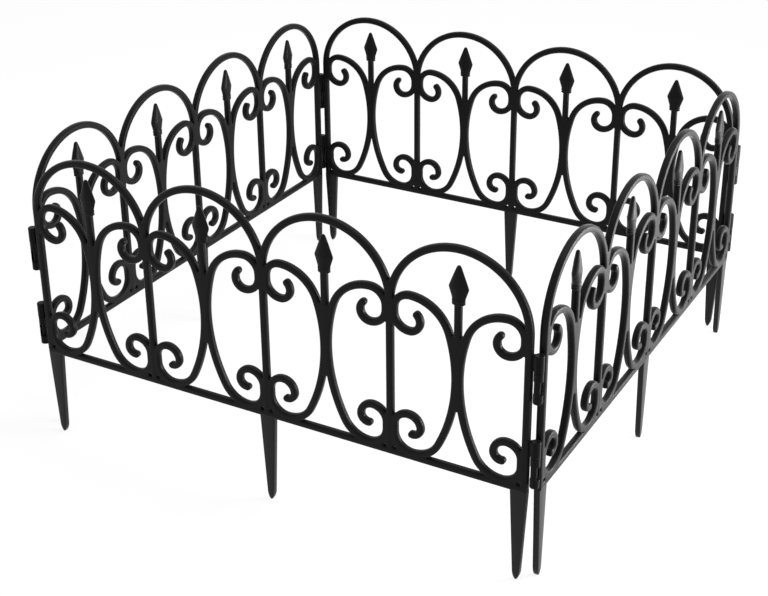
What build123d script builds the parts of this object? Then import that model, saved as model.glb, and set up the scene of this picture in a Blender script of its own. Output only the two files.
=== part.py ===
from build123d import *
import os
from math import atan2, degrees

os.makedirs("parts", exist_ok=True)

# Driving dimensions in millimetres, heights measured up from the stake tips
HEIGHT = 350.0
BAY = 147.0
BAYS = 4
BAR = 8.0
DEPTH = 8.0
EDGE = 1.8
RAIL_Z = 107.0
SPRING_Z = HEIGHT - BAY / 2 - BAR / 2
END_POST = BAYS * BAY / 2

# C-scroll: distances from the post centre line, heights from the stake tips
BACK_SET = 2.0
BACK_U = BAY / 2 - BACK_SET
BACK_Z = RAIL_Z + 0.6 * (SPRING_Z - RAIL_Z)
CURL_U = 4.5
UPPER_TOP = (0.15 * BAY, SPRING_Z + 13.5)
UPPER_SHOULDER_R = 0.30 * BAY
UPPER_DROP = 4.0
UPPER_CURL = [(17.0, 90), (11.5, 90), (11.0, 45)]
LOWER_FOOT = (0.17 * BAY, RAIL_Z + 3.5)
LOWER_SHOULDER_R = 0.213 * BAY
LOWER_RISE = 7.4
LOWER_CURL = [(15.8, 90), (13.6, 90), (8.5, 95)]

# Spear between the scrolls: levels of the leaf above the shaft, with widths and depths
SHAFT_W = 7.5
SHAFT_FOOT = BACK_Z + 10.0
SHAFT_TOP = SPRING_Z + 16.5
FLANGE = (14.0, 9.5, 2.6)
BAND = (12.0, 8.5, 3.4)
LEAF = [(6.0, 11.5, 7.0), (13.0, 18.0, 8.6), (20.0, 21.5, 9.0),
        (30.0, 13.5, 7.0), (40.0, 2.4, 2.0)]

# Ground stakes
STAKE_W = 18.5
STAKE_D = 7.6
STAKE_LET_IN = 3.0
STAKE_SHOULDER_Z = 10.0
STAKE_SHOULDER_W = 8.4
STAKE_TIP_W = 3.6
STAKE_EDGE = 1.4

# Drop-in hinges at the panel ends
AXIS_OUT = 10.0
LUG_R = 5.0
LUG_H = 17.0
LUG_EDGE = 1.0
NECK_W = 5.2
PEG_D = 5.0
PEG_FREE = 0.3
EYE_R = 4.8
EYE_H = 34.0
COLLAR_H = 9.5
STRIP = 1.2
STEP_GAP = 0.5
HINGE_TOPS = {"upper": SPRING_Z - 16.0, "lower": RAIL_Z + 56.5}

HALF_PITCH = END_POST + AXIS_OUT
NECK_L = AXIS_OUT - BAR / 2
SIDES = {"front": 0, "right": 90, "back": 180, "left": 270}


def quarter_oval(start, end, tight):
    """Radii and sweeps of the two tangent arcs that join a vertical start to a level end."""
    a, b = abs(start[0] - end[0]), abs(start[1] - end[1])
    wide = (a * a + (b - tight) ** 2 - tight ** 2) / (2 * (a - tight))
    sweep = degrees(atan2(b - tight, wide - a))
    return [(wide, sweep), (tight, 90 - sweep)]


def arc_chain(start, tangent, arcs, turn):
    """Tangent arcs one after another, turning left for +1 and right for -1."""
    edges, at, along = [], start, tangent
    for radius, sweep in arcs:
        edge = JernArc(start=at, tangent=along, radius=radius, arc_size=turn * sweep)
        edges.append(edge)
        at, along = edge @ 1, edge % 1
    return edges


def moulded(profile):
    """Solid with the same outline on both sides of the panel plane and bevelled edges."""
    half = extrude(Plane.XZ * profile, DEPTH / 2 - EDGE)
    half += extrude(Plane.XZ.offset(DEPTH / 2 - EDGE) * profile, EDGE, taper=45)
    return half + mirror(half, about=Plane.XZ)


def upright_bar(u, foot, top, width=BAR):
    return moulded(Pos(u, (foot + top) / 2) * Rectangle(width, top - foot))


def half_scroll(end, shoulder, straight, curl, up):
    """Centre line from the back of a C-scroll to one of its curls, up for +1 and down for -1."""
    back = (BACK_U, BACK_Z)
    arcs = quarter_oval(back, end, shoulder) + [(end[0] - CURL_U, 90)]
    run = arc_chain(back, (0, up), arcs, up)
    at = run[-1] @ 1
    run.append(Line(at, at + Vector(0, -up * straight)))
    return run + arc_chain(run[-1] @ 1, (0, -up), curl, up)


def scroll():
    """One C-scroll, opening toward the post at u = 0."""
    path = half_scroll(UPPER_TOP, UPPER_SHOULDER_R, UPPER_DROP, UPPER_CURL, 1)
    path += half_scroll(LOWER_FOOT, LOWER_SHOULDER_R, LOWER_RISE, LOWER_CURL, -1)
    return moulded(make_face(offset(Wire(path), BAR / 2, kind=Kind.ARC, side=Side.BOTH)))


def arch():
    """Half-round arch centred on u = 0, with legs that run down into the posts."""
    ring = Circle(BAY / 2 + BAR / 2) - Circle(BAY / 2 - BAR / 2)
    ring &= Pos(0, BAY / 2) * Rectangle(2 * BAY, BAY)
    leg = Pos(0, -1.5 * BAR) * Rectangle(BAR, 3 * BAR)
    ring += Pos(-BAY / 2, 0) * leg
    ring += Pos(BAY / 2, 0) * leg
    return moulded(Pos(0, SPRING_Z) * ring)


def lattice():
    """One panel without its stakes, spear heads and hinges, fused where its bars cross."""
    rail_foot = RAIL_Z - BAR / 2
    bars = [moulded(Pos(0, RAIL_Z) * Rectangle(2 * END_POST + BAR, BAR))]
    for i, u in enumerate(POSTS):
        outer = i in (0, BAYS)
        bars.append(upright_bar(u, rail_foot, SPRING_Z if outer else SPRING_Z + 2 * BAR))
    top, c = arch(), scroll()
    for u in BAY_CENTRES:
        bars.append(Pos(u, 0, 0) * top)
        bars.append(upright_bar(u, SHAFT_FOOT, SHAFT_TOP, SHAFT_W))
    bars += [Pos(u, 0, 0) * c for u in POSTS[:-1]]
    bars += [Pos(u, 0, 0) * mirror(c, about=Plane.YZ) for u in POSTS[1:]]
    body = bars[0].fuse(*bars[1:])
    for u in STAKES:
        body -= Pos(u, 0, rail_foot) * Box(STAKE_W, 2 * DEPTH, 2 * STAKE_LET_IN)
    return body


def stake(u):
    """Tapered stake with a blunt tip, let into the underside of the rail."""
    rail_foot = RAIL_Z - BAR / 2
    outline = [(STAKE_W / 2, rail_foot + STAKE_LET_IN), (STAKE_W / 2, rail_foot),
               (STAKE_SHOULDER_W / 2, STAKE_SHOULDER_Z),
               (0.4 * STAKE_SHOULDER_W, 0.4 * STAKE_SHOULDER_Z), (STAKE_TIP_W / 2, 0)]
    outline += [(-x, z) for x, z in reversed(outline)]
    blade = extrude(Plane.XZ * make_face(Polyline(outline, close=True)), STAKE_D / 2, both=True)
    rims = blade.edges().filter_by(lambda e: abs(abs(e.center().Y) - STAKE_D / 2) < 0.01
                                   and 1 < e.center().Z < rail_foot - 1)
    return Pos(u, 0, 0) * chamfer(rims, STAKE_EDGE)


def spear_head(u):
    """Flat leaf with a ridge on each side, over a two-step collar."""
    head = Pos(0, 0, FLANGE[2] / 2) * Box(*FLANGE)
    head += Pos(0, 0, FLANGE[2] + BAND[2] / 2) * Box(*BAND)
    leaf = []
    for level, w, d in LEAF:
        corners = [(w / 2, 0), (0, d / 2), (-w / 2, 0), (0, -d / 2)]
        leaf.append(Pos(0, 0, level) * make_face(Polyline(corners, close=True)))
    return Pos(u, 0, SHAFT_TOP) * (head + loft(leaf, ruled=True))


def knuckle(radius, height):
    """Round knuckle on a short neck, its axis at the origin and the post on its -x side."""
    return extrude(Circle(radius) + Pos(-NECK_L / 2, 0) * Rectangle(NECK_L, NECK_W), height)


def peg(top):
    """Lug on the right-hand end with a peg hanging from it."""
    lug = knuckle(LUG_R, LUG_H)
    rim = lug.edges().filter_by(GeomType.CIRCLE).group_by(Axis.Z)[-1]
    lug = Pos(0, 0, top - LUG_H) * chamfer(rim, LUG_EDGE)
    pin = Pos(0, 0, top - LUG_H - EYE_H / 2) * Cylinder(PEG_D / 2, EYE_H)
    pin = chamfer(pin.edges().group_by(Axis.Z)[0], LUG_EDGE)
    return Pos(HALF_PITCH, 0, 0) * (lug + pin)


def eye(top):
    """Sleeve on the left-hand end, with a window through it between two collars."""
    high, low = top - LUG_H - STEP_GAP, top - LUG_H - EYE_H
    middle = (high + low) / 2
    sleeve = knuckle(EYE_R, high - low)
    rim = sleeve.edges().filter_by(GeomType.CIRCLE).group_by(Axis.Z)[0]
    sleeve = Pos(0, 0, low) * chamfer(rim, LUG_EDGE)
    window = Box(NECK_L + EYE_R - 2 * STRIP, 4 * EYE_R, high - low - 2 * COLLAR_H)
    sleeve -= Pos((EYE_R - NECK_L) / 2, 0, middle) * window
    sleeve -= Pos(0, 0, middle) * Cylinder(PEG_D / 2 + PEG_FREE, 2 * EYE_H)
    return Pos(-HALF_PITCH, 0, 0) * Rot(0, 0, 180) * sleeve


POSTS = [-END_POST + i * BAY for i in range(BAYS + 1)]
BAY_CENTRES = [u + BAY / 2 for u in POSTS[:-1]]
STAKE_OUT = END_POST + (BAR - STAKE_W) / 2
STAKES = [-STAKE_OUT, 0.0, STAKE_OUT]

pieces = {"lattice": lattice(), "spear_heads": Compound(children=[spear_head(u) for u in BAY_CENTRES])}
for place, u in zip(("left", "middle", "right"), STAKES):
    pieces["stake_" + place] = stake(u)
for level, top in HINGE_TOPS.items():
    pieces[level + "_peg"] = peg(top)
    pieces[level + "_eye"] = eye(top)

for side, turn in SIDES.items():
    for name, solid in pieces.items():
        placed = Rot(0, 0, turn) * Pos(0, -HALF_PITCH, 0) * solid
        export_step(placed, f"parts/{side}_{name}.step")
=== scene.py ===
from math import atan2, ceil, cos, degrees, radians, sin

import bpy
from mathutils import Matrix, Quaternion, Vector


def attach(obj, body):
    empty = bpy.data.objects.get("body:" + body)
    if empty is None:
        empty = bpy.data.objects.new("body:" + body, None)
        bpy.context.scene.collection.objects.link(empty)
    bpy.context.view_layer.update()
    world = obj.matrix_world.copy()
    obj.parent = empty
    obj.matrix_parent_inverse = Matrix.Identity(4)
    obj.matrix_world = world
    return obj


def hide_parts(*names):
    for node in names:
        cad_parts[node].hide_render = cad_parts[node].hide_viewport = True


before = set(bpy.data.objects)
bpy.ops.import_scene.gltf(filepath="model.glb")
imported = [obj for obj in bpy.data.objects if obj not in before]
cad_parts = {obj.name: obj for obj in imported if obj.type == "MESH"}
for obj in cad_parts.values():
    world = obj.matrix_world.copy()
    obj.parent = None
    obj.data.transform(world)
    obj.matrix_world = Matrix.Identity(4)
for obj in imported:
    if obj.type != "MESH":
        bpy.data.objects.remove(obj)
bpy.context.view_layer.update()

# Fence sizes in metres, heights measured up from the spike tips
HEIGHT = 0.350
BAY = 0.147
BAYS = 4
BAR = 0.008
DEPTH = 0.008
RAIL_Z = 0.107
RAIL_FOOT = RAIL_Z - BAR / 2
SPRING_Z = HEIGHT - BAY / 2 - BAR / 2
END_POST = BAYS * BAY / 2
POSTS = [-END_POST + i * BAY for i in range(BAYS + 1)]
BAY_CENTRES = [u + BAY / 2 for u in POSTS[:-1]]
AXIS_OUT = 0.010
HALF_PITCH = END_POST + AXIS_OUT
SIDES = {"front": 0, "right": 90, "back": 180, "left": 270}

# Bar section: the rounding of its edges and the draft of its sides
EDGE = 0.0024
EDGE_STEPS = 4
EDGE_PROFILE = 0.46
DRAFT = 0.00014

# Kinds of bar and web differ in depth by steps of SHY, so that no two faces share a plane
SHY = 0.000004

# Points nearer than this count as one place
CLOSE = 1e-6

# Longest step round an arc, in degrees and in metres
ARC_DEGREES = 7
ARC_STEP = 0.0036

# Ends of bars: how far they stop short of an outer face or run on into the next piece
RAIL_INSET = 0.0012
POST_INSET = 0.001
ARCH_LEG = 3 * BAR
INTO_HEAD = 0.001

# C-scroll centre line: its back, its two ends and the radii of its curls
BACK_U = BAY / 2 - 0.002
BACK_Z = RAIL_Z + 0.6 * (SPRING_Z - RAIL_Z)
CURL_U = 0.0045
OPEN_CORNER = 0.0034
UPPER_END = (0.15 * BAY, SPRING_Z + 0.0135)
UPPER_SHOULDER_R = 0.30 * BAY
UPPER_DROP = 0.004
UPPER_CURL = [(0.017, 90), (0.0115, 90), (0.011, 45)]
LOWER_END = (0.17 * BAY, RAIL_Z + 0.0035)
LOWER_SHOULDER_R = 0.213 * BAY
LOWER_RISE = 0.0074
LOWER_CURL = [(0.0158, 90), (0.0136, 90), (0.0085, 95)]

# Webs: how far two bars have parted at each corner of the web that fills the groove between them
WEB_SOFT = 0.0012
PAST_POST = 0.0006
CURL_GAPS = (0.0, 0.0012, 0.0029, 0.0050)
FOOT_GAPS = (0.001, 0.0024, 0.0045)
BELOW_SPEAR_GAPS = (0.0, 0.0006, 0.0017, 0.0031)
BESIDE_SPEAR_GAPS = (0.0006, 0.0017, 0.0034, 0.0051, 0.0073)
CROTCH_FOOT = (0.0022, -0.004)
CROTCH_GAPS = (0.0030, 0.0044)

# Spear shaft
SHAFT_W = 0.0075
SHAFT_FOOT = BACK_Z + 0.010
SHAFT_TOP = SPRING_Z + 0.0165

# Spear head: rings of height above the shaft, width and depth
COLLAR = [(0.0, 0.0126, 0.0086), (0.0005, 0.0139, 0.0092), (0.0016, 0.0139, 0.0092),
          (0.0020, 0.0124, 0.0085), (0.0026, 0.0124, 0.0085), (0.0031, 0.0138, 0.0092),
          (0.0054, 0.0140, 0.0093), (0.0061, 0.0128, 0.0086)]
COLLAR_SIDES = 24
LEAF = [(0.0056, 0.0134, 0.0088), (0.0064, 0.0144, 0.0090), (0.0110, 0.0176, 0.0090),
        (0.0160, 0.0210, 0.0090), (0.0170, 0.0214, 0.0090), (0.0184, 0.0209, 0.0089),
        (0.0300, 0.0119, 0.0072), (0.0378, 0.0055, 0.0048), (0.0393, 0.0039, 0.0036),
        (0.0400, 0.0022, 0.0020)]
LEAF_SIDES = 12
LEAF_PINCH = 0.95

# Ground spikes: rings of height, share of the full width and share of the full depth
SPIKE_W = 0.0185
SPIKE_D = 0.0076
SPIKE_CROWN = 0.0009
SPIKE_SOFT = 0.0015
SPIKE_OUT = END_POST + (BAR - SPIKE_W) / 2
SPIKES = {"left": -SPIKE_OUT, "middle": 0.0, "right": SPIKE_OUT}
SPIKE = [(RAIL_FOOT + 0.003, 1.0, 1.0), (RAIL_FOOT, 1.0, 1.0), (0.066, 0.783, 0.985),
         (0.034, 0.595, 0.965), (0.0105, 0.457, 0.94), (0.0085, 0.440, 0.93),
         (0.0060, 0.385, 0.91), (0.0035, 0.300, 0.87), (0.0015, 0.200, 0.80),
         (0.0005, 0.125, 0.72), (0.0, 0.080, 0.62)]

# Drop-in hinges, with the softening of each foot and top rim
LUG_R = 0.005
LUG_H = 0.017
LUG_SOFT = (0.0005, 0.001)
PIN_R = 0.0025
PIN_SOFT = (0.001, 0)
INTO_LUG = 0.002
EYE_R = 0.0048
EYE_BORE = 0.0028
EYE_H = 0.034
EYE_SOFT = (0.0008, 0.0004)
COLLAR_H = 0.0095
STRIP = 0.0012
STEP_GAP = 0.0005
PAST_EYE = 0.002
ROUND_SIDES = 40
HINGE_TOPS = {"upper": SPRING_Z - 0.016, "lower": RAIL_Z + 0.0565}

# Necks between post and hinge: insets from the knuckle's foot and top, and clearances
NECK_W = 0.0052
NECK_L = AXIS_OUT - BAR / 2
NECK_SOFT = 0.0006
LUG_NECK_FOOT, LUG_NECK_TOP = 0.0002, 0.0005
EYE_NECK_INSET = 0.0003
LUG_NECK_SHORT = 0.001
EYE_NECK_SHORT = EYE_BORE + 0.0006

# Edges flatter than this are shaded smooth
SMOOTH_ANGLE = radians(34)

# Range that a noise texture mostly keeps to
NOISE_RANGE = (0.3, 0.7)

# Camera at the photograph's viewing angle: lens and shift in pixels, aim and distance in bays
PICTURE_W = 768
FOCAL_PX = 1467.2
SHIFT_PX = -60
SENSOR_W = 36.0
AZIMUTH, ELEVATION, ROLL = radians(29.425), radians(24.588), radians(-0.499)
AIM = Vector((-0.448, 0.428, 1.0))
DISTANCE = 12.569


# Small hand tools for modelling

def deselect():
    bpy.ops.object.select_all(action="DESELECT")


def edit():
    bpy.ops.object.mode_set(mode="EDIT")


def leave_edit():
    bpy.ops.object.mode_set(mode="OBJECT")


def pick(kind, test):
    """Select in edit mode the vertices, edges or faces whose corners all pass the test."""
    bpy.ops.mesh.select_mode(type=kind)
    bpy.ops.mesh.select_all(action="DESELECT")
    leave_edit()
    piece = bpy.context.object
    mesh, place = piece.data, piece.matrix_world
    good = [test(place @ v.co) for v in mesh.vertices]
    if kind == "VERT":
        for v in mesh.vertices:
            v.select = good[v.index]
    else:
        for part in mesh.edges if kind == "EDGE" else mesh.polygons:
            part.select = all(good[i] for i in part.vertices)
    edit()


def chosen_faces():
    """Numbers of the selected faces of the piece in hand."""
    leave_edit()
    chosen = [f.index for f in bpy.context.object.data.polygons if f.select]
    edit()
    return chosen


def choose_faces(numbers):
    """Select only these faces of the piece in hand."""
    bpy.ops.mesh.select_all(action="DESELECT")
    leave_edit()
    for i in numbers:
        bpy.context.object.data.polygons[i].select = True
    edit()


def stretch(centre, x, y):
    """Scale what is selected across and in depth, about a point (u, level)."""
    bpy.ops.transform.resize(value=(x, y, 1), center_override=(centre[0], 0, centre[1]))


def push(x, z):
    """Extrude what is selected and carry it along in the panel's plane."""
    bpy.ops.mesh.extrude_region_move(TRANSFORM_OT_translate={"value": (x, 0, z)})


def turn_all(angle, centre):
    """Turn the whole piece in the panel's plane about a point (u, level)."""
    bpy.ops.mesh.select_all(action="SELECT")
    bpy.ops.transform.rotate(value=angle, orient_axis="Y",
                             center_override=(centre[0], 0, centre[1]))


def settle(piece, name):
    """Put the place into the mesh, and leave it with closed seams and faces outwards."""
    leave_edit()
    bpy.ops.object.transform_apply(location=True, rotation=True, scale=True)
    edit()
    bpy.ops.mesh.select_mode(type="VERT")
    bpy.ops.mesh.select_all(action="SELECT")
    bpy.ops.mesh.remove_doubles(threshold=CLOSE)
    bpy.ops.mesh.normals_make_consistent(inside=False)
    leave_edit()
    piece.name = piece.data.name = name
    return piece


def only(piece):
    """Make this the one selected and active object."""
    deselect()
    piece.select_set(True)
    bpy.context.view_layer.objects.active = piece


def copy_of(piece, u, flip=False):
    """A copy with its own mesh, moved along the panel to u, or turned left for right as well."""
    only(piece)
    bpy.ops.object.duplicate()
    twin = bpy.context.object
    if flip:
        twin.scale.x = -1
    twin.location = (u, 0, 0)
    return settle(twin, piece.name + "_copy")


def weld(body, pieces, how="UNION"):
    """Fuse pieces into one moulding, or cut them out of it."""
    for piece in pieces:
        only(body)
        joint = body.modifiers.new("weld", "BOOLEAN")
        joint.operation, joint.solver, joint.object = how, "MANIFOLD", piece
        bpy.ops.object.modifier_apply(modifier=joint.name)
        bpy.data.objects.remove(piece)
    return body


def gather(pieces, name):
    """Join finished pieces into one object."""
    deselect()
    for piece in pieces:
        piece.select_set(True)
    bpy.context.view_layer.objects.active = pieces[0]
    bpy.ops.object.join()
    whole = bpy.context.object
    whole.name = whole.data.name = name
    return whole


# Bars: a rounded section that is spun round arcs and pulled along straights

def ahead(at, leg):
    """Place and heading after a leg: (radius, sweep), left turns positive, or (None, length)."""
    u, z, heading = at
    radius, amount = leg
    h = radians(heading)
    if radius is None:
        return u + amount * cos(h), z + amount * sin(h), heading
    side = 1 if amount > 0 else -1
    cu, cz = u - side * radius * sin(h), z + side * radius * cos(h)
    t = radians(heading + amount)
    return cu + side * radius * sin(t), cz - side * radius * cos(t), heading + amount


def lay(at, leg):
    """Carry the selected end of the bar along one leg."""
    u, z, heading = at
    radius, amount = leg
    to = ahead(at, leg)
    if radius is None:
        push(to[0] - u, to[1] - z)
        return to
    h, side = radians(heading), 1 if amount > 0 else -1
    arc = radians(abs(amount))
    steps = max(2, ceil(abs(amount) / ARC_DEGREES), ceil(radius * arc / ARC_STEP))
    bpy.ops.mesh.spin(steps=steps, angle=radians(amount), axis=(0, 1, 0),
                      center=(u - side * radius * sin(h), 0, z + side * radius * cos(h)))
    return to


def bar_section(at, width, depth):
    """Flat end of a bar, its corners rounded and its sides drafted from the parting line."""
    u, z, heading = at
    deselect()
    bpy.ops.mesh.primitive_plane_add(size=1, location=(u, 0, z))
    edit()
    stretch(at, width - 2 * DRAFT, depth)
    bpy.ops.mesh.select_mode(type="VERT")
    bpy.ops.mesh.bevel(offset=EDGE, offset_type="OFFSET", segments=EDGE_STEPS,
                       profile=EDGE_PROFILE, affect="VERTICES")
    rim = width / 2 - DRAFT - CLOSE
    pick("EDGE", lambda p: abs(p.x - u) > rim)
    bpy.ops.mesh.subdivide(number_cuts=1)
    pick("VERT", lambda p: abs(p.x - u) > rim and abs(p.y) < CLOSE)
    stretch(at, width / (width - 2 * DRAFT), 1)
    bpy.ops.mesh.select_mode(type="FACE")
    bpy.ops.mesh.select_all(action="SELECT")
    if heading != 90:
        turn_all(radians(heading - 90), at)
    return bpy.context.object


# Round end of a curl: the angle round it at which each ring lies, and the ring's share of depth
ROUND_END = [(0, 1.0), (14, 0.99), (28, 0.96), (42, 0.91), (55, 0.83), (67, 0.71), (77, 0.56),
             (85, 0.38)]


def round_end(at):
    """Close the selected end of a bar with a soft half round."""
    turn = radians(90 - at[2])
    end = chosen_faces()
    turn_all(turn, at)
    choose_faces(end)
    rings = [(radians(a), d) for a, d in ROUND_END]
    for (a0, d0), (a1, d1) in zip(rings, rings[1:]):
        push(0, BAR / 2 * (sin(a1) - sin(a0)))
        stretch(at, cos(a1) / cos(a0), d1 / d0)
    turn_all(-turn, at)


def straight_bar(name, start, end, width=BAR, depth=DEPTH):
    """Straight bar with a small bevel round both ends."""
    heading = degrees(atan2(end[1] - start[1], end[0] - start[0]))
    length = Vector((end[0] - start[0], end[1] - start[1])).length
    at = (start[0], start[1], 90)
    piece = bar_section(at, width, depth)
    narrow, thin = (width - EDGE) / width, (depth - EDGE) / depth
    stretch(at, narrow, thin)
    at = lay(at, (None, EDGE / 2))
    stretch(at, 1 / narrow, 1 / thin)
    at = lay(at, (None, length - EDGE))
    at = lay(at, (None, EDGE / 2))
    stretch(at, narrow, thin)
    turn_all(radians(heading - 90), start)
    return settle(piece, name)


def quarter_oval(start, end, tight):
    """Radii and sweeps of the two tangent arcs that join an upright start to a level end."""
    a, b = abs(start[0] - end[0]), abs(start[1] - end[1])
    wide = (a * a + (b - tight) ** 2 - tight ** 2) / (2 * (a - tight))
    sweep = degrees(atan2(b - tight, wide - a))
    return [(wide, sweep), (tight, 90 - sweep)]


UPPER_OVAL = quarter_oval((BACK_U, BACK_Z), UPPER_END, UPPER_SHOULDER_R)
LOWER_OVAL = quarter_oval((BACK_U, BACK_Z), LOWER_END, LOWER_SHOULDER_R)


def c_scroll():
    """One C-scroll beside the post at u = 0, from its upper curl round to its lower curl."""
    up = UPPER_OVAL + [(UPPER_END[0] - CURL_U, 90), (None, UPPER_DROP)] + UPPER_CURL
    down = LOWER_OVAL + [(LOWER_END[0] - CURL_U, 90), (None, LOWER_RISE)] + LOWER_CURL
    tip = (BACK_U, BACK_Z, 90)
    for leg in up:
        tip = ahead(tip, leg)
    u, z, heading = tip
    at = (u, z, heading - 180)
    piece = bar_section(at, BAR, DEPTH - 3 * SHY)
    for radius, amount in up[::-1] + down:
        at = lay(at, (radius, amount if radius is None else -amount))
    round_end(at)
    along = cos(radians(heading)), sin(radians(heading))
    pick("FACE", lambda p: abs((p.x - u) * along[0] + (p.z - z) * along[1]) < CLOSE
         and abs(p.x - u) < BAR and abs(p.z - z) < BAR)
    round_end(tip)
    return settle(piece, "c_scroll")


def arch():
    """Half-round arch over the bay at u = 0, with legs that run down into the posts."""
    at = (-BAY / 2, SPRING_Z - ARCH_LEG, 90)
    piece = bar_section(at, BAR, DEPTH - SHY)
    for leg in [(None, ARCH_LEG), (BAY / 2, -180), (None, ARCH_LEG)]:
        at = lay(at, leg)
    return settle(piece, "arch")


# Webs: flat fillings that make bars which meet one mass

def web(name, corners, depth):
    """Flat web with bevelled rims, from its corners in the panel's plane."""
    half = depth / 2
    deselect()
    bpy.ops.mesh.primitive_circle_add(vertices=len(corners), radius=BAR, fill_type="NGON")
    piece = bpy.context.object
    for corner, (u, z) in zip(piece.data.vertices, corners):
        corner.co = (u, -half, z)
    edit()
    bpy.ops.mesh.select_all(action="SELECT")
    bpy.ops.mesh.extrude_region_move(TRANSFORM_OT_translate={"value": (0, 2 * half, 0)})
    for rim in (lambda p: p.y > 0, lambda p: p.y < -half + CLOSE):
        pick("EDGE", rim)
        bpy.ops.mesh.bevel(offset=WEB_SOFT, segments=2, profile=0.5, affect="EDGES")
    return settle(piece, name)


def parting(gap, radius):
    """How far along an arc two tangent bars have moved apart by a gap."""
    return (gap * (2 * radius - gap)) ** 0.5


def curl_line(centre, radius, start, end, count):
    """Points round a curl's centre line, by angle."""
    angles = [radians(start + (end - start) * i / (count - 1)) for i in range(count)]
    return [(centre[0] + radius * cos(a), centre[1] + radius * sin(a)) for a in angles]


def against_post(edge):
    """Outline between an edge line and the post at u = 0."""
    return [(-PAST_POST, edge[0][1])] + edge + [(-PAST_POST, edge[-1][1])]


def both_sides(right):
    """Outline from a right-hand edge line and its mirror image."""
    return right + [(-u, z) for u, z in reversed(right)]


def upper_curl_web():
    """Web between a C-scroll's upper curl and the post at u = 0."""
    r = UPPER_END[0] - CURL_U
    high = UPPER_END[1] - r
    edge = [(CURL_U + gap, high - UPPER_DROP - parting(gap, UPPER_CURL[0][0]))
            for gap in reversed(CURL_GAPS)]
    edge += [(CURL_U + gap, high + parting(gap, r)) for gap in CURL_GAPS]
    return web("upper_curl_web", against_post(edge), DEPTH - 5 * SHY)


def lower_curl_webs():
    """Webs from a C-scroll's lower curl to the post and to the rail, round a small open corner."""
    r = LOWER_END[0] - CURL_U
    centre = (LOWER_END[0], LOWER_END[1] + r)
    high = centre[1] + LOWER_RISE
    fall = RAIL_Z + BAR / 2 + OPEN_CORNER - centre[1]
    steep = degrees(atan2(fall, -(r * r - fall * fall) ** 0.5)) + 360
    edge = curl_line(centre, r, steep, 180, 5)
    edge += [(CURL_U + gap, high + parting(gap, LOWER_CURL[0][0])) for gap in CURL_GAPS]
    to_post = web("lower_curl_web", against_post(edge), DEPTH - 6 * SHY)
    flat = BAR / 2 + OPEN_CORNER - centre[0]
    shallow = degrees(atan2(-(r * r - flat * flat) ** 0.5, flat)) + 360
    edge = curl_line(centre, r, shallow, 270, 4)
    edge += [(LOWER_END[0] + parting(gap, LOWER_SHOULDER_R), LOWER_END[1] + gap)
             for gap in FOOT_GAPS]
    to_rail = web("foot_web", [(edge[0][0], RAIL_Z)] + edge + [(edge[-1][0], RAIL_Z)],
                  DEPTH - 7 * SHY)
    return [to_post, to_rail]


def spear_web():
    """Web between the backs of two C-scrolls and up both sides of the spear shaft, at u = 0."""
    half = BAY / 2 - BACK_U
    right = [(half + gap, BACK_Z - parting(gap, LOWER_OVAL[0][0]))
             for gap in reversed(BELOW_SPEAR_GAPS)]
    right += [(half + gap, BACK_Z + parting(gap, UPPER_OVAL[0][0])) for gap in BESIDE_SPEAR_GAPS]
    return web("spear_web", both_sides(right), DEPTH - 8 * SHY)


def crotch_web():
    """Web between two arches where they spring from the post at u = 0."""
    right = [CROTCH_FOOT] + [(gap, parting(gap, BAY / 2)) for gap in CROTCH_GAPS]
    return web("crotch_web", both_sides([(u, SPRING_Z + z) for u, z in right]), DEPTH - 9 * SHY)


def trellis():
    """One panel's arches, posts, rail, scrolls and spear shafts, fused as one moulding."""
    body = straight_bar("trellis", (-END_POST - BAR / 2 + RAIL_INSET, RAIL_Z),
                        (END_POST + BAR / 2 - RAIL_INSET, RAIL_Z))
    bars = []
    for i, u in enumerate(POSTS):
        outer = i in (0, BAYS)
        foot = RAIL_FOOT if outer else RAIL_FOOT + POST_INSET
        top = SPRING_Z if outer else SPRING_Z + 2 * BAR
        bars.append(straight_bar("post", (u, foot), (u, top - POST_INSET), depth=DEPTH - 2 * SHY))
    hoop = arch()
    bars += [copy_of(hoop, u) for u in BAY_CENTRES]
    bars += [straight_bar("shaft", (u, SHAFT_FOOT), (u, SHAFT_TOP + INTO_HEAD), SHAFT_W,
                          DEPTH - 4 * SHY) for u in BAY_CENTRES]
    beside_post = [c_scroll(), upper_curl_web()] + lower_curl_webs()
    for piece in beside_post:
        bars += [copy_of(piece, u) for u in POSTS[:-1]]
        bars += [copy_of(piece, u, flip=True) for u in POSTS[1:]]
    spear, crotch = spear_web(), crotch_web()
    bars += [copy_of(spear, u) for u in BAY_CENTRES]
    bars += [copy_of(crotch, u) for u in POSTS[1:-1]]
    for piece in [hoop, spear, crotch] + beside_post:
        bpy.data.objects.remove(piece)
    return weld(body, bars)


# Spear heads: a thick leaf over a grooved oval collar

def oval_stack(name, rings, sides, pinch):
    """Stack of oval rings on the shaft, their corners off the two axes pinched in."""
    level, w, d = rings[0]
    middle = (0, 0, SHAFT_TOP + level)
    deselect()
    bpy.ops.mesh.primitive_circle_add(vertices=sides, radius=0.5, fill_type="NGON",
                                      location=middle)
    piece = bpy.context.object
    edit()
    pick("VERT", lambda p: min(abs(p.x), abs(p.y)) > 0.02)
    bpy.ops.transform.resize(value=(pinch, pinch, 1), center_override=middle)
    bpy.ops.mesh.select_mode(type="FACE")
    bpy.ops.mesh.select_all(action="SELECT")
    bpy.ops.transform.resize(value=(w, d, 1), center_override=middle)
    for (z0, w0, d0), (z1, w1, d1) in zip(rings, rings[1:]):
        push(0, z1 - z0)
        stretch((0, SHAFT_TOP + z1), w1 / w0, d1 / d0)
    return settle(piece, name)


def spear_head():
    """Leaf over a grooved oval collar."""
    return weld(oval_stack("spear_head", COLLAR, COLLAR_SIDES, 1.0),
                [oval_stack("leaf", LEAF, LEAF_SIDES, LEAF_PINCH)])


# Ground spikes: a flat tapering blade, a little thicker down its middle

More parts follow.
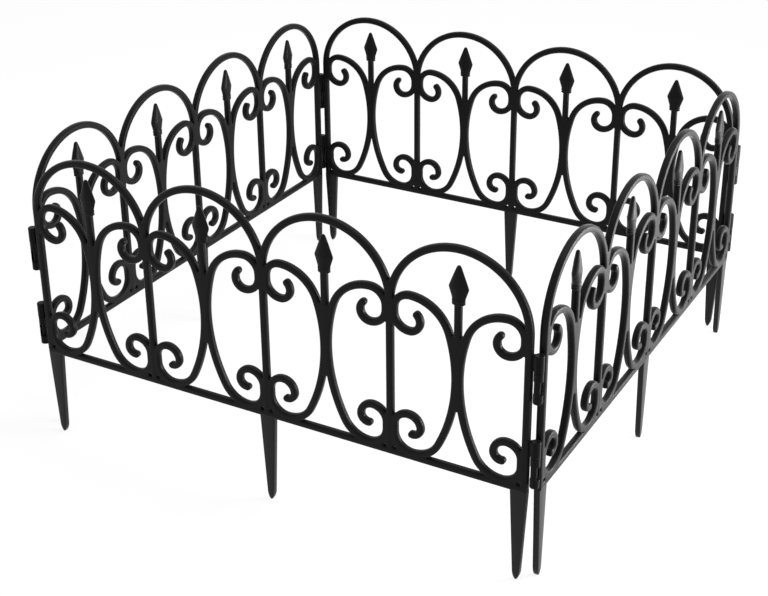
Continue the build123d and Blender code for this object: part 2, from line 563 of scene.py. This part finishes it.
def spike(u):
    """Spike under the rail at u, its top let into the rail."""
    at = (u, SPIKE[0][0])
    deselect()
    bpy.ops.mesh.primitive_plane_add(size=1, location=(u, 0, at[1]))
    piece = bpy.context.object
    edit()
    stretch(at, SPIKE_W, SPIKE_D - SPIKE_CROWN)
    bpy.ops.mesh.select_mode(type="VERT")
    bpy.ops.mesh.bevel(offset=SPIKE_SOFT, segments=3, profile=0.5, affect="VERTICES")
    broad = (SPIKE_D - SPIKE_CROWN) / 2 - CLOSE
    pick("EDGE", lambda p: abs(p.y) > broad)
    bpy.ops.mesh.subdivide(number_cuts=1)
    pick("VERT", lambda p: abs(p.y) > broad and abs(p.x - u) < CLOSE)
    stretch(at, 1, SPIKE_D / (SPIKE_D - SPIKE_CROWN))
    bpy.ops.mesh.select_mode(type="FACE")
    bpy.ops.mesh.select_all(action="SELECT")
    for (z0, w0, d0), (z1, w1, d1) in zip(SPIKE, SPIKE[1:]):
        push(0, z1 - z0)
        stretch((u, z1), w1 / w0, d1 / d0)
    return settle(piece, "spike")


# Hinges: a lug with a hanging pin at one end of a panel, a sleeve at the other

def round_post(name, radius, foot, top, soft=(0, 0)):
    """Upright round bar on the hinge axis, its foot and top rims softened."""
    deselect()
    bpy.ops.mesh.primitive_cylinder_add(vertices=ROUND_SIDES, radius=radius, depth=top - foot,
                                        location=(0, 0, (foot + top) / 2))
    piece = bpy.context.object
    edit()
    for level, offset in zip((foot, top), soft):
        if offset:
            pick("EDGE", lambda p: abs(p.z - level) < CLOSE)
            bpy.ops.mesh.bevel(offset=offset, segments=3, profile=0.5, affect="EDGES")
    return settle(piece, name)


def neck(foot, top, short):
    """Bar from a post's side toward the hinge axis, stopping short of it."""
    middle = ((-NECK_L - short) / 2, 0, (foot + top) / 2)
    deselect()
    bpy.ops.mesh.primitive_cube_add(size=1, location=middle)
    piece = bpy.context.object
    edit()
    bpy.ops.transform.resize(value=(NECK_L - short, NECK_W, top - foot), center_override=middle)
    pick("EDGE", lambda p: abs(abs(p.y) - NECK_W / 2) < CLOSE)
    bpy.ops.mesh.bevel(offset=NECK_SOFT, segments=2, profile=0.5, affect="EDGES")
    return settle(piece, "neck")


def peg(top):
    """Lug on its neck with a pin hanging from it."""
    foot = top - LUG_H
    lug = round_post("lug", LUG_R, foot, top, LUG_SOFT)
    pin = round_post("pin", PIN_R, foot - EYE_H, foot + INTO_LUG, PIN_SOFT)
    return weld(lug, [neck(foot + LUG_NECK_FOOT, top - LUG_NECK_TOP, LUG_NECK_SHORT), pin])


def eye(top):
    """Sleeve round the hinge axis, with a window through it between two collars."""
    high, low = top - LUG_H - STEP_GAP, top - LUG_H - EYE_H
    sleeve = round_post("sleeve", EYE_R, low, high, EYE_SOFT)
    weld(sleeve, [neck(low + EYE_NECK_INSET, high - EYE_NECK_INSET, EYE_NECK_SHORT)])
    inner, outer = STRIP - NECK_L, EYE_R - STRIP
    sill, lintel = low + COLLAR_H, high - COLLAR_H
    opening = [(inner, sill), (outer, sill), (outer, lintel), (inner, lintel)]
    window = web("window", opening, 4 * EYE_R)
    bore = round_post("bore", EYE_BORE, low - PAST_EYE, high + PAST_EYE)
    return weld(sleeve, [window, bore], "DIFFERENCE")


# Materials: black moulded plastic with shared surface effects

def group(name, inputs, outputs):
    """Empty shader group with named sockets."""
    tree = bpy.data.node_groups.new(name, "ShaderNodeTree")
    for label, kind, value in inputs:
        socket = tree.interface.new_socket(name=label, in_out="INPUT", socket_type=kind)
        if value is not None:
            socket.default_value = value
    for label, kind in outputs:
        tree.interface.new_socket(name=label, in_out="OUTPUT", socket_type=kind)
    return tree, tree.nodes.new("NodeGroupInput"), tree.nodes.new("NodeGroupOutput")


def moulded_grain():
    """Fine spark-eroded mould texture with slow flow marks: a bump height and a gloss change."""
    tree, given, out = group("moulded_grain",
                             [("Place", "NodeSocketVector", None),
                              ("Grain Scale", "NodeSocketFloat", 2600.0),
                              ("Flow Scale", "NodeSocketFloat", 45.0),
                              ("Flow Share", "NodeSocketFloat", 0.3)],
                             [("Height", "NodeSocketFloat"), ("Gloss", "NodeSocketFloat")])
    nodes, links = tree.nodes, tree.links
    fine = nodes.new("ShaderNodeTexNoise")
    fine.inputs["Detail"].default_value = 2.0
    links.new(given.outputs["Place"], fine.inputs["Vector"])
    links.new(given.outputs["Grain Scale"], fine.inputs["Scale"])
    flow = nodes.new("ShaderNodeTexNoise")
    flow.inputs["Detail"].default_value = 3.0
    flow.inputs["Distortion"].default_value = 0.6
    links.new(given.outputs["Place"], flow.inputs["Vector"])
    links.new(given.outputs["Flow Scale"], flow.inputs["Scale"])
    mix = nodes.new("ShaderNodeMix")
    links.new(given.outputs["Flow Share"], mix.inputs["Factor"])
    links.new(fine.outputs["Fac"], mix.inputs["A"])
    links.new(flow.outputs["Fac"], mix.inputs["B"])
    links.new(mix.outputs["Result"], out.inputs["Height"])
    links.new(flow.outputs["Fac"], out.inputs["Gloss"])
    return tree


def rubbed_and_highlit_edges():
    """Mask of the outer edges, broken up so that it reads as patches and not as a line: the lighter
    colour it brings is partly wear from handling and partly painted highlight along the edges.
    """
    tree, given, out = group("rubbed_and_highlit_edges",
                             [("Place", "NodeSocketVector", None),
                              ("Reach", "NodeSocketFloat", 0.0008),
                              ("Patch Scale", "NodeSocketFloat", 160.0)],
                             [("Mask", "NodeSocketFloat"), ("Normal", "NodeSocketVector")])
    nodes, links = tree.nodes, tree.links
    soft = nodes.new("ShaderNodeBevel")
    soft.samples = 6
    links.new(given.outputs["Reach"], soft.inputs["Radius"])
    flat = nodes.new("ShaderNodeNewGeometry")
    close = nodes.new("ShaderNodeVectorMath")
    close.operation = "DOT_PRODUCT"
    links.new(soft.outputs["Normal"], close.inputs[0])
    links.new(flat.outputs["Normal"], close.inputs[1])
    edge = nodes.new("ShaderNodeMapRange")
    edge.inputs["From Min"].default_value = 0.995
    edge.inputs["From Max"].default_value = 0.90
    links.new(close.outputs["Value"], edge.inputs["Value"])
    patch = nodes.new("ShaderNodeTexNoise")
    patch.inputs["Detail"].default_value = 4.0
    links.new(given.outputs["Place"], patch.inputs["Vector"])
    links.new(given.outputs["Patch Scale"], patch.inputs["Scale"])
    broken = nodes.new("ShaderNodeMapRange")
    broken.inputs["From Min"].default_value = 0.38
    broken.inputs["From Max"].default_value = 0.66
    links.new(patch.outputs["Fac"], broken.inputs["Value"])
    both = nodes.new("ShaderNodeMath")
    both.operation = "MULTIPLY"
    links.new(edge.outputs["Result"], both.inputs[0])
    links.new(broken.outputs["Result"], both.inputs[1])
    links.new(both.outputs["Value"], out.inputs["Mask"])
    links.new(soft.outputs["Normal"], out.inputs["Normal"])
    return tree


GRAIN = moulded_grain()
RUB_AND_HIGHLIGHT = rubbed_and_highlit_edges()


def over_noise(tree, noise, low, high):
    """A value that runs from low to high over the range of a noise."""
    span = tree.nodes.new("ShaderNodeMapRange")
    span.inputs["From Min"].default_value = NOISE_RANGE[0]
    span.inputs["From Max"].default_value = NOISE_RANGE[1]
    span.inputs["To Min"].default_value = low
    span.inputs["To Max"].default_value = high
    tree.links.new(noise, span.inputs["Value"])
    return span.outputs["Result"]


def black_plastic(name, body, rubbed_and_highlit, gloss, shine, sheen, grain_scale, bump):
    """Satin black plastic: body colour, lighter edges that are partly rubbed wear and partly
    painted highlight, gloss range, shine, sheen and grain.
    """
    material = bpy.data.materials.new(name)
    material.use_nodes = True
    tree = material.node_tree
    nodes, links = tree.nodes, tree.links
    shader = nodes["Principled BSDF"]
    shader.inputs["IOR"].default_value = 1.49
    shader.inputs["Specular IOR Level"].default_value = shine
    shader.inputs["Sheen Weight"].default_value = sheen
    shader.inputs["Sheen Roughness"].default_value = 0.32
    place = nodes.new("ShaderNodeTexCoord").outputs["Object"]
    grain = nodes.new("ShaderNodeGroup")
    grain.node_tree = GRAIN
    grain.inputs["Grain Scale"].default_value = grain_scale
    links.new(place, grain.inputs["Place"])
    rub_and_highlight = nodes.new("ShaderNodeGroup")
    rub_and_highlight.node_tree = RUB_AND_HIGHLIGHT
    links.new(place, rub_and_highlight.inputs["Place"])
    # Lighter colour on the edges: partly wear from handling, partly painted highlight
    tint = nodes.new("ShaderNodeMix")
    tint.data_type = "RGBA"
    tint.inputs["A"].default_value = (*body, 1)
    tint.inputs["B"].default_value = (*rubbed_and_highlit, 1)
    links.new(rub_and_highlight.outputs["Mask"], tint.inputs["Factor"])
    shade = nodes.new("ShaderNodeMix")
    shade.data_type = "RGBA"
    shade.blend_type = "MULTIPLY"
    shade.inputs["Factor"].default_value = 1.0
    links.new(tint.outputs["Result"], shade.inputs["A"])
    links.new(over_noise(tree, grain.outputs["Gloss"], 0.82, 1.18), shade.inputs["B"])
    links.new(shade.outputs["Result"], shader.inputs["Base Color"])
    links.new(over_noise(tree, grain.outputs["Gloss"], *gloss), shader.inputs["Roughness"])
    pits = nodes.new("ShaderNodeBump")
    pits.inputs["Strength"].default_value = bump
    pits.inputs["Distance"].default_value = 0.0002
    links.new(grain.outputs["Height"], pits.inputs["Height"])
    links.new(rub_and_highlight.outputs["Normal"], pits.inputs["Normal"])
    links.new(pits.outputs["Normal"], shader.inputs["Normal"])
    return material


# The second colour of each plastic is its lighter edge colour: partly rubbed wear, partly painted
# highlight
PANEL_BLACK = black_plastic("panel_black", body=(0.0058, 0.0051, 0.0056),
                            rubbed_and_highlit=(0.030, 0.029, 0.030), gloss=(0.34, 0.46), shine=0.11,
                            sheen=0.22, grain_scale=2600.0, bump=0.16)
SPIKE_BLACK = black_plastic("spike_black", body=(0.0076, 0.0069, 0.0074),
                            rubbed_and_highlit=(0.040, 0.038, 0.039), gloss=(0.32, 0.44), shine=0.19,
                            sheen=0.36, grain_scale=2200.0, bump=0.20)
HINGE_BLACK = black_plastic("hinge_black", body=(0.0040, 0.0036, 0.0040),
                            rubbed_and_highlit=(0.026, 0.025, 0.026), gloss=(0.30, 0.42), shine=0.08,
                            sheen=0.12, grain_scale=3000.0, bump=0.12)


# Model each piece once for the panel in the plane y = 0

patterns = {"lattice": (trellis(), PANEL_BLACK, "panel_plastic")}
head = spear_head()
heads = gather([copy_of(head, u) for u in BAY_CENTRES], "spear_tips")
bpy.data.objects.remove(head)
patterns["spear_heads"] = (heads, PANEL_BLACK, "panel_plastic")
for place, u in SPIKES.items():
    patterns["stake_" + place] = (spike(u), SPIKE_BLACK, "stake_plastic")
for level, top in HINGE_TOPS.items():
    part = peg(top)
    patterns[level + "_peg"] = (copy_of(part, HALF_PITCH), HINGE_BLACK, "hinge_plastic")
    bpy.data.objects.remove(part)
    part = eye(top)
    patterns[level + "_eye"] = (copy_of(part, -HALF_PITCH, flip=True), HINGE_BLACK, "hinge_plastic")
    bpy.data.objects.remove(part)

# Place the four panels round the bed

for side, turn in SIDES.items():
    for node, (pattern, finish, slot) in patterns.items():
        only(pattern)
        bpy.ops.object.duplicate()
        piece = bpy.context.object
        piece.location = (HALF_PITCH * sin(radians(turn)), -HALF_PITCH * cos(radians(turn)), 0)
        piece.rotation_euler = (0, 0, radians(turn))
        bpy.ops.object.transform_apply(location=True, rotation=True, scale=True)
        piece.name = piece.data.name = f"{side}_{node}_moulding"
        piece.data.materials.clear()
        piece.data.materials.append(finish)
        bpy.ops.object.shade_smooth_by_angle(angle=SMOOTH_ANGLE)
        flat = piece.modifiers.new("flat_faces", "WEIGHTED_NORMAL")
        flat.keep_sharp = True
        bpy.ops.object.modifier_apply(modifier=flat.name)
        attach(piece, side + "_panel")
        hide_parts(f"{side}_{node}")
for pattern, finish, slot in patterns.values():
    bpy.data.objects.remove(pattern)

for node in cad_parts.values():
    node.data.materials.clear()
    node.data.materials.append(PANEL_BLACK)


# Floor, backdrop and studio light

def seen_directly(tree):
    """Value of 1 for rays that show the backdrop itself: camera, glossy and transmission rays."""
    ray = tree.nodes.new("ShaderNodeLightPath")
    value = ray.outputs["Is Camera Ray"]
    for kind in ("Is Glossy Ray", "Is Transmission Ray"):
        either = tree.nodes.new("ShaderNodeMath")
        either.operation = "MAXIMUM"
        tree.links.new(value, either.inputs[0])
        tree.links.new(ray.outputs[kind], either.inputs[1])
        value = either.outputs["Value"]
    return value


def pale_floor():
    """Pale floor paint that looks white itself and keeps the fence's shadow."""
    material = bpy.data.materials.new("pale_floor")
    material.use_nodes = True
    nodes, links = material.node_tree.nodes, material.node_tree.links
    shader = nodes["Principled BSDF"]
    shader.inputs["Roughness"].default_value = 0.9
    shader.inputs["Specular IOR Level"].default_value = 0.0
    seen = seen_directly(material.node_tree)
    cover = nodes.new("ShaderNodeMix")
    cover.data_type = "RGBA"
    cover.inputs["A"].default_value = (0.78, 0.78, 0.78, 1)
    cover.inputs["B"].default_value = (0.30, 0.30, 0.30, 1)
    links.new(seen, cover.inputs["Factor"])
    links.new(cover.outputs["Result"], shader.inputs["Base Color"])
    shader.inputs["Emission Color"].default_value = (1, 1, 1, 1)
    glow = nodes.new("ShaderNodeMath")
    glow.operation = "MULTIPLY"
    glow.inputs[1].default_value = 0.80
    links.new(seen, glow.inputs[0])
    links.new(glow.outputs["Value"], shader.inputs["Emission Strength"])
    return material


deselect()
bpy.ops.mesh.primitive_circle_add(vertices=96, radius=9.0, fill_type="NGON", location=(0, 0, 0))
floor = bpy.context.object
floor.name = "studio_floor"
floor.data.materials.append(pale_floor())

world = bpy.data.worlds.new("studio")
bpy.context.scene.world = world
world.use_nodes = True
nodes, links = world.node_tree.nodes, world.node_tree.links
sky = nodes["Background"]
sky.inputs["Color"].default_value = (1, 1, 1, 1)
strength = nodes.new("ShaderNodeMapRange")
strength.inputs["To Min"].default_value = 0.5
strength.inputs["To Max"].default_value = 1.0
links.new(seen_directly(world.node_tree), strength.inputs["Value"])
links.new(strength.outputs["Result"], sky.inputs["Strength"])


def soft_box(name, place, aim, size, power):
    """Square lamp that shines from its place toward its aim."""
    data = bpy.data.lights.new(name, "AREA")
    data.shape, data.size, data.energy = "SQUARE", size, power
    lamp = bpy.data.objects.new(name, data)
    bpy.context.scene.collection.objects.link(lamp)
    lamp.location = place
    lamp.rotation_euler = (Vector(aim) - Vector(place)).to_track_quat("-Z", "Y").to_euler()


soft_box("key_right", place=(0.95, 0.40, 0.15), aim=(0.31, -0.15, 0.12), size=0.6, power=22)
soft_box("top_light", place=(0.4, 0.3, 2.4), aim=(0, 0, 0.15), size=1.6, power=16)

# Camera

camera_data = bpy.data.cameras.new("camera")
camera_data.sensor_width = SENSOR_W
camera_data.lens = SENSOR_W * FOCAL_PX / PICTURE_W
camera_data.shift_y = SHIFT_PX / PICTURE_W
camera = bpy.data.objects.new("camera", camera_data)
bpy.context.scene.collection.objects.link(camera)
back = Vector((sin(AZIMUTH) * cos(ELEVATION), -cos(AZIMUTH) * cos(ELEVATION), sin(ELEVATION)))
camera.location = AIM * BAY + back * DISTANCE * BAY
camera.rotation_mode = "QUATERNION"
camera.rotation_quaternion = (-back).to_track_quat("-Z", "Y") @ Quaternion((0, 0, 1), ROLL)
bpy.context.scene.camera = camera
bpy.context.scene.view_settings.view_transform = "Standard"
